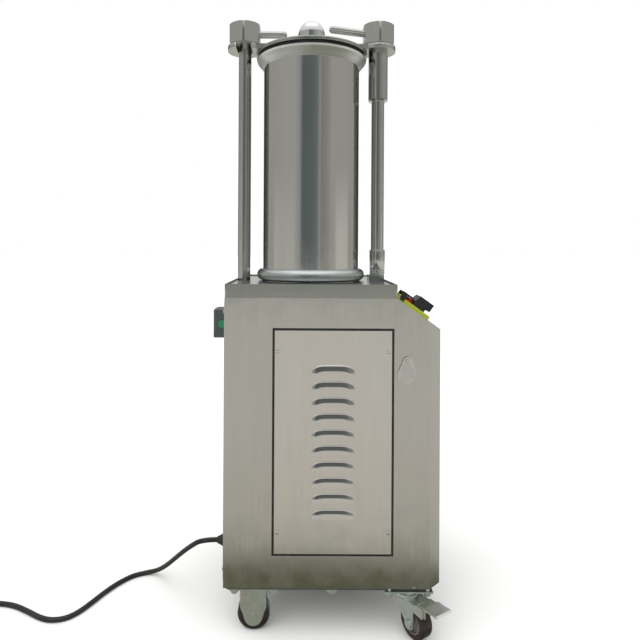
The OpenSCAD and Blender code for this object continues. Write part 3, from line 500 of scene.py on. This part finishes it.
def soften_edges(node, width):
    """Round a node's sharp edges, which real pressed and turned parts never keep."""
    part = NODES[node]
    weld = part.modifiers.new("weld", "WELD")
    weld.merge_threshold = 0.00001
    bevel = part.modifiers.new("bevel", "BEVEL")
    bevel.width = width * MM
    bevel.segments = 2
    bevel.limit_method = "ANGLE"
    bevel.angle_limit = math.radians(28)
    bevel.harden_normals = True


for width, members in BEVELS.items():
    for node in members:
        soften_edges(node, width)


# ---------------------------------------------------------------- service door

LOUVRE_HALF = 0.0432
LOUVRE_RISE = 0.0190
# How far the CAD door's hoods stand out of its sheet, which places the sheet's outer face.
LOUVRE_DEPTH = 0.0070
LOUVRE_COUNT = 10
LOUVRE_PITCH = 0.0318
LOUVRE_FIRST = 0.5296
LOUVRE_LIP_DROP = 0.0095
LOUVRE_CORNER = 4.2
# The hood's section: the share of its rise in from the outline, and how far out in millimetres.
LOUVRE_PROFILE = [
    (0, 0), (0.02, 0.6), (0.05, 1.1), (0.10, 1.5), (0.20, 2.15), (0.32, 2.8),
    (0.45, 3.3), (0.55, 3.55), (0.68, 3.7), (0.85, 3.8), (1.0, 3.85),
]
# The black strip round the door is painted shade for the dark gap: its width, how far it sits behind the
# door's face, and its clearance.
GAP_SHADE_WIDTH = 0.0043
GAP_SHADE_RECESS = 0.0010
GAP_SHADE_CLEARANCE = 0.0002


def louvre_outline(turn):
    """A point on the hood's arched outline: flat on top, turning down sharply at its ends."""
    x = math.copysign(abs(math.cos(turn)) ** (2 / LOUVRE_CORNER), math.cos(turn))
    return x, abs(math.sin(turn))


def add_louvre(bm, centre_x, lip_z, face_y):
    """One pressed hood, from its outline on the sheet out to its lip. Returns the outline."""
    steps = 40
    rings = []
    for inset, out in LOUVRE_PROFILE:
        ring = []
        for i in range(steps + 1):
            x, z = louvre_outline(math.pi * i / steps)
            x *= LOUVRE_HALF - inset * LOUVRE_RISE
            z *= LOUVRE_RISE * (1 - inset)
            ring.append(bm.verts.new((centre_x + x, face_y - out * MM, lip_z + z)))
        rings.append(ring)
    for low, high in zip(rings, rings[1:]):
        for i in range(steps):
            bm.faces.new([low[i], low[i + 1], high[i + 1], high[i]])
    return rings[0]


def make_door():
    low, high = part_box("service_door")
    face_y = low.y + LOUVRE_DEPTH
    thickness = high.y - face_y
    centre_x = (low.x + high.x) / 2
    bm = bmesh.new()
    loops = []
    for i in range(LOUVRE_COUNT):
        lip_z = LOUVRE_FIRST - i * LOUVRE_PITCH - LOUVRE_LIP_DROP
        loops.append(add_louvre(bm, centre_x, lip_z, face_y))
    frame_corners = [(low.x, low.z), (high.x, low.z), (high.x, high.z), (low.x, high.z)]
    outer = [bm.verts.new((x, face_y, z)) for x, z in frame_corners]
    edges = [bm.edges.new((outer[i], outer[(i + 1) % 4])) for i in range(4)]
    for loop in loops:
        for a, b in zip(loop, loop[1:]):
            edges.append(bm.edges.get((a, b)) or bm.edges.new((a, b)))
        edges.append(bm.edges.get((loop[-1], loop[0])) or bm.edges.new((loop[-1], loop[0])))
    bmesh.ops.triangle_fill(bm, use_beauty=True, use_dissolve=False, edges=edges)
    door = from_bmesh("louvred_door", bm)
    flip_towards(door, Vector((0, -1, 0)))
    skin = door.modifiers.new("sheet", "SOLIDIFY")
    skin.thickness = thickness
    skin.offset = -1
    settle(door)
    finish_piece(door, "machine", "door", "door_steel", "service_door")


def make_door_gap_shade():
    """A black strip in the gap round the door: painted shade that makes the gap dark."""
    low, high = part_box("service_door")
    face_y = low.y + LOUVRE_DEPTH + GAP_SHADE_RECESS
    rings = []
    bm = bmesh.new()
    inner, outer = GAP_SHADE_CLEARANCE, GAP_SHADE_WIDTH
    for gap, y in ((inner, high.y), (inner, face_y), (outer, face_y), (outer, high.y)):
        corners = [
            (low.x - gap, low.z - gap), (high.x + gap, low.z - gap),
            (high.x + gap, high.z + gap), (low.x - gap, high.z + gap),
        ]
        rings.append([bm.verts.new((x, y, z)) for x, z in corners])
    for ring, following in zip(rings, [*rings[1:], rings[0]]):
        for i in range(4):
            j = (i + 1) % 4
            bm.faces.new((ring[i], ring[j], following[j], following[i]))
    finish_piece(from_bmesh("door_gap_shade", bm), "machine", "gasket", "gasket_rubber")


def flip_towards(piece, direction):
    """Turn an open mesh's faces over if most of them look away from direction."""
    facing = sum((face.normal.dot(direction) * face.area for face in piece.data.polygons))
    if facing < 0:
        piece.data.flip_normals()


make_door()
make_door_gap_shade()


# ---------------------------------------------------------------- castor wheels

WHEEL_HALF_WIDTH = 0.014
TYRE_SHOULDER = 0.005
TYRE_INNER = 0.0215
HUB_BORE = 0.0062
HUB_BOSS = 0.011


def make_wheel(node, body, axis):
    """A solid tyre with rounded shoulders on a hub with a sunken web."""
    low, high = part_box(node)
    radius = (high.z - low.z) / 2
    place = axis_place((low + high) / 2, axis)
    half = WHEEL_HALF_WIDTH
    near_side = [(TYRE_INNER, 0.0015 - half), (TYRE_INNER + 0.0015, -half), (radius - TYRE_SHOULDER, -half)]
    shoulder = arc((radius - TYRE_SHOULDER, TYRE_SHOULDER - half), TYRE_SHOULDER, -80, 0, 7)
    first_half = [*near_side, *shoulder]
    outline = [*first_half, *((r, -z) for r, z in reversed(first_half))]
    bm = bmesh.new()
    lathe(bm, [*outline, outline[0]], place, 96)
    finish_piece(from_bmesh(node + "_tyre", bm), body, "tyre", "tyre_rubber", node)
    hub_half = [
        (HUB_BORE, -half - 0.001), (HUB_BOSS - 0.001, -half - 0.001), (HUB_BOSS, -half),
        (HUB_BOSS + 0.001, 0.005 - half), (TYRE_INNER - 0.003, 0.006 - half),
        (TYRE_INNER - 0.002, 0.0005 - half), (TYRE_INNER, 0.0005 - half), (TYRE_INNER, 0.003 - half),
    ]
    outline = [*hub_half, *((r, -z) for r, z in reversed(hub_half))]
    bm = bmesh.new()
    lathe(bm, [*outline, outline[0]], place, 64)
    finish_piece(from_bmesh(node + "_hub", bm), body, "hub", "tyre_rubber")


for side in ("near", "far"):
    for end in ("rear", "front"):
        wheel_axis = JOINTS[f"{side}_{end}_wheel_spin"]["axis"]
        make_wheel(f"{end}_wheel_{side}", f"{side}_{end}_wheel", wheel_axis)


# ---------------------------------------------------------------- screws and drain plug

SCREW_RADIUS = 0.004
SCREW_HEIGHT = 0.0022
SCREW_SLOT = 0.0009
SCREW_EDGE = 0.0012
RECESS_RADIUS = 0.0019
DOOR_SCREW_X = (-0.066, 0.155)
DOOR_SCREW_Z = (0.2075, 0.566)
REAR_SCREW_INSET = (0.017, 0.030)
PIVOT = Vector((0.192, -0.1879, 0.548))
DRAIN = (0.045, -0.160)


def add_screw(bm, head, direction):
    """A pan-head screw with a crossed recess, its head's underside at head."""
    place = axis_place(head, direction)
    dome = arc((SCREW_RADIUS - SCREW_EDGE, SCREW_HEIGHT - SCREW_EDGE), SCREW_EDGE, 0, 90, 4)
    shaft = SCREW_RADIUS * 0.47
    rim = (RECESS_RADIUS, SCREW_HEIGHT)
    lathe(bm, [(0, -0.006), (shaft, -0.005), (shaft, 0), (SCREW_RADIUS, 0), *dome, rim], place, 32)
    # The recess: a sunken floor, with four quadrants of the head's top left standing.
    bottom = SCREW_HEIGHT - SCREW_SLOT
    lathe(bm, [rim, (RECESS_RADIUS, bottom), (0, bottom)], place, 32)
    start, end = 0.00035, 0.0013
    for sx, sy in ((1, 1), (1, -1), (-1, 1), (-1, -1)):
        xs, ys = sorted((sx * start, sx * end)), sorted((sy * start, sy * end))
        add_block(bm, (xs[0], ys[0], bottom), (xs[1], ys[1], SCREW_HEIGHT), place)


def make_screws():
    panel_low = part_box("rear_panel")[0]
    shell_low, shell_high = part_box("cabinet_shell")
    bm = bmesh.new()
    for x in DOOR_SCREW_X:
        for z in DOOR_SCREW_Z:
            add_screw(bm, (x, shell_low.y, z), (0, -1, 0))
    for y in (shell_low.y + REAR_SCREW_INSET[0], shell_high.y - REAR_SCREW_INSET[0]):
        for z in (shell_low.z + REAR_SCREW_INSET[1], shell_high.z - REAR_SCREW_INSET[1]):
            add_screw(bm, (panel_low.x, y, z), (-1, 0, 0))
    add_screw(bm, PIVOT, (0, -1, 0))
    lathe(bm, [(0.0025, -0.0029), (0.0025, 0)], axis_place(PIVOT, (0, -1, 0)), 24)
    finish_piece(from_bmesh("cross_head_screws", bm), "machine", "screw", "screw_steel", "panel_screws")


def make_drain_plug():
    """The hexagonal plug under the base plate."""
    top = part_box("base_plate")[0].z
    bm = bmesh.new()
    place = Matrix.Translation((*DRAIN, top))
    lathe(bm, [(0, 0), (0.0125, 0), (0.0125, -0.004), (0.0105, -0.0045), (0, -0.0045)], place, 48)
    hexagon = [(0.0098, -0.004), (0.0104, -0.005), (0.0104, -0.014), (0.0090, -0.0158)]
    lathe(bm, [(0, -0.004), *hexagon, (0, -0.0158)], place, 6)
    finish_piece(from_bmesh("drain_plug", bm, math.radians(20)), "machine", "zinc", "zinc")


make_screws()
make_drain_plug()


# ---------------------------------------------------------------- cord

CORD_DIAMETER = 0.010
CORD_RADIUS = CORD_DIAMETER / 2
COIL_CENTRE = (-0.790, -0.035)
COIL_INNER = 0.040
COIL_OUTER = 0.060
COIL_STEPS = 24
LEAD_POINTS = [
    (-197, -100, 147), (-215, -100, 146), (-237, -96, 140), (-258, -84, 123), (-280, -67, 100),
    (-300, -47, 76), (-320, -24, 51), (-341, 0, 27), (-361, 16, 11), (-384, 18, 5),
    (-411, 4, 5), (-435, -24, 5), (-454, -58, 5), (-469, -92, 5), (-484, -121, 5),
    (-503, -140, 5), (-529, -146, 5), (-556, -139, 5), (-590, -121, 5), (-625, -104, 5),
    (-659, -96, 5), (-700, -95, 5), (-740, -95, 5), (-772, -95, 5),
]
TAIL_POINTS = [(-850, -30, 15), (-850, -14, 16), (-850, 0, 18), (-850, 10, 19)]
PLUG_PIN_HALF_PITCH = 0.0095
TIE_WIDTH = 0.005
TIE_THICKNESS = 0.0012
TIE_CORNER = 0.004
TIE_ANGLE = math.radians(35)


def smooth_route(points, between=6):
    """A Catmull-Rom curve through listed points."""
    ends = [2 * points[0] - points[1], *points, 2 * points[-1] - points[-2]]
    route = []
    for a, b, c, d in zip(ends, ends[1:], ends[2:], ends[3:]):
        for i in range(between):
            t = i / between
            route.append(
                0.5 * (2 * b + (c - a) * t + (2 * a - 5 * b + 4 * c - d) * t ** 2
                       + (3 * b - a - 3 * c + d) * t ** 3)
            )
    return [*route, points[-1]]


def coil_turns():
    """Two turns inwards on the floor, a quarter turn that climbs, and two turns outwards on top."""
    turns = 4.25
    climb_start, climb_end = 2.0, 2.25
    points = []
    for i in range(int(turns * COIL_STEPS) + 1):
        turn = i / COIL_STEPS
        if turn <= climb_start:
            radius = COIL_OUTER - (COIL_OUTER - COIL_INNER) * turn / climb_start
        elif turn <= climb_end:
            radius = COIL_INNER
        else:
            radius = COIL_INNER + (COIL_OUTER - COIL_INNER) * (turn - climb_end) / (turns - climb_end)
        climbed = min(1.0, max(0.0, (turn - climb_start) / (climb_end - climb_start)))
        height = CORD_RADIUS + CORD_DIAMETER * climbed * climbed * (3 - 2 * climbed)
        angle = math.radians(-90) - 2 * math.pi * turn
        x = COIL_CENTRE[0] + radius * math.cos(angle)
        y = COIL_CENTRE[1] + radius * math.sin(angle)
        points.append(Vector((x, y, height)))
    return points


def make_plug():
    """A moulded round plug: ribbed strain relief, waisted grip, face and two pins."""
    low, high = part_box("cord_plug")
    centre = (low + high) / 2
    place = axis_place((centre.x, low.y, centre.z), (0, 1, 0))
    outline = [(0.0, 0.0), (CORD_RADIUS + 0.0005, 0.0)]
    for rib in range(5):
        start, radius = 0.001 + rib * 0.0046, 0.0062 + rib * 0.0009
        outline += [(radius, start), (radius + 0.0003, start + 0.0026)]
        outline += [(radius - 0.0010, start + 0.0030), (radius - 0.0009, start + 0.0042)]
    outline += [(0.0110, 0.0245), (0.0125, 0.0265), (0.0160, 0.0310), (0.0180, 0.0350)]
    outline += [(0.0185, 0.0400), (0.0176, 0.0440), (0.0176, 0.0520), (0.0185, 0.0560)]
    outline += [*arc((0.0173, 0.0587), 0.0012, 0, 90, 4), (0.0150, 0.0599), (0.0146, 0.0590), (0.0, 0.0590)]
    bm = bmesh.new()
    lathe(bm, outline, place, 48)
    for side in (-1, 1):
        pin = place @ Matrix.Translation((side * PLUG_PIN_HALF_PITCH, 0, 0))
        tip = arc((0.0010, 0.0776), 0.0014, 0, 90, 4)
        lathe(bm, [(0.0024, 0.0590), (0.0024, 0.0770), *tip, (0.0, 0.0790)], pin, 24)
    plug = from_bmesh("mains_plug", bm)
    finish_piece(plug, "machine", "cord", "cord_rubber", "cord_plug")
    return plug


def make_tie():
    """A plastic tie round the coil's turns, with its head outside."""
    inner, outer = COIL_INNER - CORD_RADIUS, COIL_OUTER + CORD_RADIUS
    top = 2 * CORD_DIAMETER
    middle = Vector((COIL_CENTRE[0], COIL_CENTRE[1], 0))
    place = Matrix.Translation(middle) @ Matrix.Rotation(TIE_ANGLE, 4, "Z")
    bm = bmesh.new()
    loops = []
    for grow in (0.0, TIE_THICKNESS):
        loop = []
        for x, z, start in ((outer, 0, -90), (outer, top, 0), (inner, top, 90), (inner, 0, 180)):
            side = math.copysign(TIE_CORNER, x - COIL_OUTER)
            centre = (x - side, z + (TIE_CORNER if z == 0 else -TIE_CORNER))
            loop += arc(centre, TIE_CORNER + grow, start, start + 90, 5)
        loops.append([(x, max(z, 0.0001)) for x, z in loop])
    rings = []
    for points, y in ((loops[0], -1), (loops[0], 1), (loops[1], 1), (loops[1], -1)):
        rings.append([bm.verts.new(place @ Vector((x, y * TIE_WIDTH / 2, z))) for x, z in points])
    count = len(rings[0])
    for ring, following in zip(rings, [*rings[1:], rings[0]]):
        for i in range(count):
            j = (i + 1) % count
            bm.faces.new((ring[i], ring[j], following[j], following[i]))
    head_x = outer + TIE_THICKNESS
    add_block(bm, (head_x - 0.001, -0.0042, 0.008), (head_x + 0.0045, 0.0042, 0.014), place)
    tie = from_bmesh("cord_tie", bm)
    finish_piece(tie, "machine", "cord", "cord_rubber")
    return tie


def make_cord():
    lead = smooth_route([Vector(p) * MM for p in LEAD_POINTS])
    tail = smooth_route([Vector(p) * MM for p in TAIL_POINTS])
    route = [*lead, *coil_turns(), *tail]
    data = bpy.data.curves.new("mains_cord", "CURVE")
    data.dimensions = "3D"
    data.bevel_depth = CORD_RADIUS
    data.bevel_resolution = 5
    data.use_fill_caps = True
    spline = data.splines.new("POLY")
    spline.points.add(len(route) - 1)
    for point, place in zip(spline.points, route):
        point.co = (*place, 1)
    spline.use_smooth = True
    cord = add_object("mains_cord", data)
    finish_piece(cord, "machine", "cord", "cord_rubber", "power_cord", "cord_coil")
    length = sum((b - a).length for a, b in zip(route, route[1:]))
    return cord, route, length


cord, cord_route, cord_length = make_cord()
make_plug()
make_tie()


# ---------------------------------------------------------------- stage and light


class World:
    """Small helper for the studio's world nodes."""

    def __init__(self):
        world = bpy.data.worlds.new("studio")
        scene.world = world
        world.use_nodes = True
        self.tree = world.node_tree
        self.tree.nodes.clear()

    def new(self, kind, **settings):
        node = self.tree.nodes.new(kind)
        for key, value in settings.items():
            setattr(node, key, value)
        return node

    def link(self, source, target):
        self.tree.links.new(source, target)

    def maths(self, operation, first, second=0.0, third=0.0):
        node = self.new("ShaderNodeMath", operation=operation)
        for socket, value in zip(node.inputs, (first, second, third)):
            if isinstance(value, bpy.types.NodeSocket):
                self.link(value, socket)
            else:
                socket.default_value = value
        return node.outputs[0]

    def ramp(self, value, stops):
        node = self.new("ShaderNodeValToRGB")
        self.link(value, node.inputs[0])
        elements = node.color_ramp.elements
        elements.remove(elements[1])
        elements[0].position, elements[0].color = stops[0][0], (*stops[0][1], 1)
        for position, colour in stops[1:]:
            elements.new(position).color = (*colour, 1)
        return node.outputs["Color"]

    def mix(self, factor, first, second):
        node = self.new("ShaderNodeMix", data_type="RGBA")
        for key, value in (("Factor", factor), ("A", first), ("B", second)):
            if isinstance(value, bpy.types.NodeSocket):
                self.link(value, node.inputs[key])
            else:
                node.inputs[key].default_value = value
        return node.outputs["Result"]


def grey(value, warm=0.0):
    """A light's colour, slightly yellow if warm is above zero."""
    return value, value * (1 - warm * 0.3), value * (1 - warm)


def by_height(stops):
    """Ramp stops given as the sine of the direction's elevation."""
    return [((z + 1) / 2, colour) for z, colour in stops]


def by_azimuth(stops):
    """Ramp stops given in degrees from the camera's side, positive towards +X."""
    return [((degrees + 180) / 360, colour) for degrees, colour in stops]


def make_world():
    """The made-up room that the steel reflects, set to give the photograph's reflections."""
    w = World()
    direction = w.new("ShaderNodeTexCoord").outputs["Generated"]
    split = w.new("ShaderNodeSeparateXYZ")
    w.link(direction, split.inputs[0])
    height = w.maths("MULTIPLY_ADD", split.outputs["Z"], 0.5, 0.5)
    away = w.maths("MULTIPLY", split.outputs["Y"], -1.0)
    azimuth = w.maths("ARCTAN2", split.outputs["X"], away)
    azimuth = w.maths("ADD", w.maths("DIVIDE", azimuth, 2 * math.pi), 0.5)
    room = w.ramp(height, by_height([
        (-1.0, (0.33, 0.33, 0.30)), (-0.500, (0.36, 0.36, 0.33)), (-0.487, (0.58, 0.57, 0.50)),
        (-0.44, (0.70, 0.69, 0.62)), (-0.30, (0.75, 0.74, 0.69)), (-0.10, (0.73, 0.73, 0.68)),
        (-0.07, (0.56, 0.57, 0.52)),
        (0.30, (0.50, 0.505, 0.48)), (0.48, (0.70, 0.70, 0.68)), (0.65, (0.84, 0.85, 0.85)),
        (0.80, (0.90, 0.90, 0.90)), (0.88, (1.35, 1.35, 1.35)), (1.0, (1.4, 1.4, 1.4)),
    ]))
    dark_side = w.ramp(azimuth, by_azimuth([
        (-34, grey(0.0)), (-20, grey(1.0)), (98, grey(1.0)), (112, grey(0.0)),
    ]))
    dark_floor = w.ramp(height, by_height([(-0.500, grey(1.0)), (-0.487, grey(0.0))]))
    shaded = w.maths("MULTIPLY", dark_side, dark_floor)
    room = w.mix(shaded, room, (0.153, 0.155, 0.098, 1))
    bands = w.ramp(azimuth, by_azimuth([
        (-180, grey(0.75)), (-172, grey(0.70)), (-168, grey(0.05)), (-136, grey(0.05)),
        (-130, grey(0.40, 0.08)), (-60, grey(0.44, 0.08)), (-38, grey(0.44, 0.06)),
        (-27, grey(0.36, 0.05)), (-21, (0.125, 0.145, 0.15)), (4, (0.14, 0.165, 0.17)),
        (15, (0.19, 0.21, 0.20)), (18.5, grey(0.36)), (21, grey(0.36)), (23, grey(0.27, 0.1)),
        (38, grey(0.33, 0.1)), (50, grey(0.43, 0.1)), (120, grey(0.41, 0.1)), (132, grey(0.30, 0.1)),
        (137, grey(0.05)), (168, grey(0.05)), (172, grey(0.70)), (180, grey(0.75)),
    ]))
    in_bands = w.ramp(height, by_height([
        (-0.075, grey(0.0)), (-0.045, grey(1.0)), (0.42, grey(1.0)), (0.52, grey(0.0)),
    ]))
    panels = w.ramp(azimuth, by_azimuth([
        (-99, grey(0.0)), (-96, grey(0.6)), (-70, grey(0.45)), (-40, grey(0.5)), (-37, grey(0.0)),
        (58, grey(0.0)), (62, grey(1.0)), (96, grey(1.0)), (100, grey(0.0)),
    ]))
    low_zone = w.ramp(height, by_height([
        (-0.08, grey(0.0)), (-0.05, grey(1.0)), (0.03, grey(0.9)), (0.14, grey(0.0)),
    ]))
    banded = w.mix(w.maths("MULTIPLY", panels, low_zone), bands, (0.62, 0.62, 0.57, 1))
    seen_by_steel = w.mix(in_bands, room, banded)
    path = w.new("ShaderNodeLightPath").outputs
    lit = w.mix(path["Is Diffuse Ray"], seen_by_steel, (0.95, 0.95, 0.94, 1))
    final = w.mix(path["Is Camera Ray"], lit, (1, 1, 1, 1))
    background = w.new("ShaderNodeBackground")
    w.link(final, background.inputs["Color"])
    output = w.new("ShaderNodeOutputWorld")
    w.link(background.outputs[0], output.inputs["Surface"])


FLOOR_HALF = 40.0
SUN_STRENGTH = 1.5
SUN_ANGLE = math.radians(70)
SUN_TURN = (math.radians(22), math.radians(-14), 0)


def make_floor():
    """A plain pale floor, which the steel doesn't mirror."""
    half = FLOOR_HALF
    bm = bmesh.new()
    corners = [(-half, -half), (half, -half), (half, half), (-half, half)]
    bm.faces.new([bm.verts.new((x, y, 0)) for x, y in corners])
    floor = from_bmesh("floor", bm)
    s = Shader("floor_paint", Specular_IOR_Level=0.2)
    clouds = s.noise(s.place, 0.8, 3.0)
    colour = s.mix(s.spread(clouds, 0, 1), (0.90, 0.90, 0.895, 1), (0.88, 0.88, 0.875, 1))
    floor.data.materials.append(s.finish(colour, s.spread(clouds, 0.75, 0.85)))
    floor.visible_glossy = False


def make_sun():
    """One wide overhead light, which the steel doesn't mirror."""
    data = bpy.data.lights.new("softbox", "SUN")
    data.energy = SUN_STRENGTH
    data.angle = SUN_ANGLE
    sun = add_object("softbox", data)
    sun.rotation_euler = SUN_TURN
    sun.visible_glossy = False


make_world()
make_floor()
make_sun()
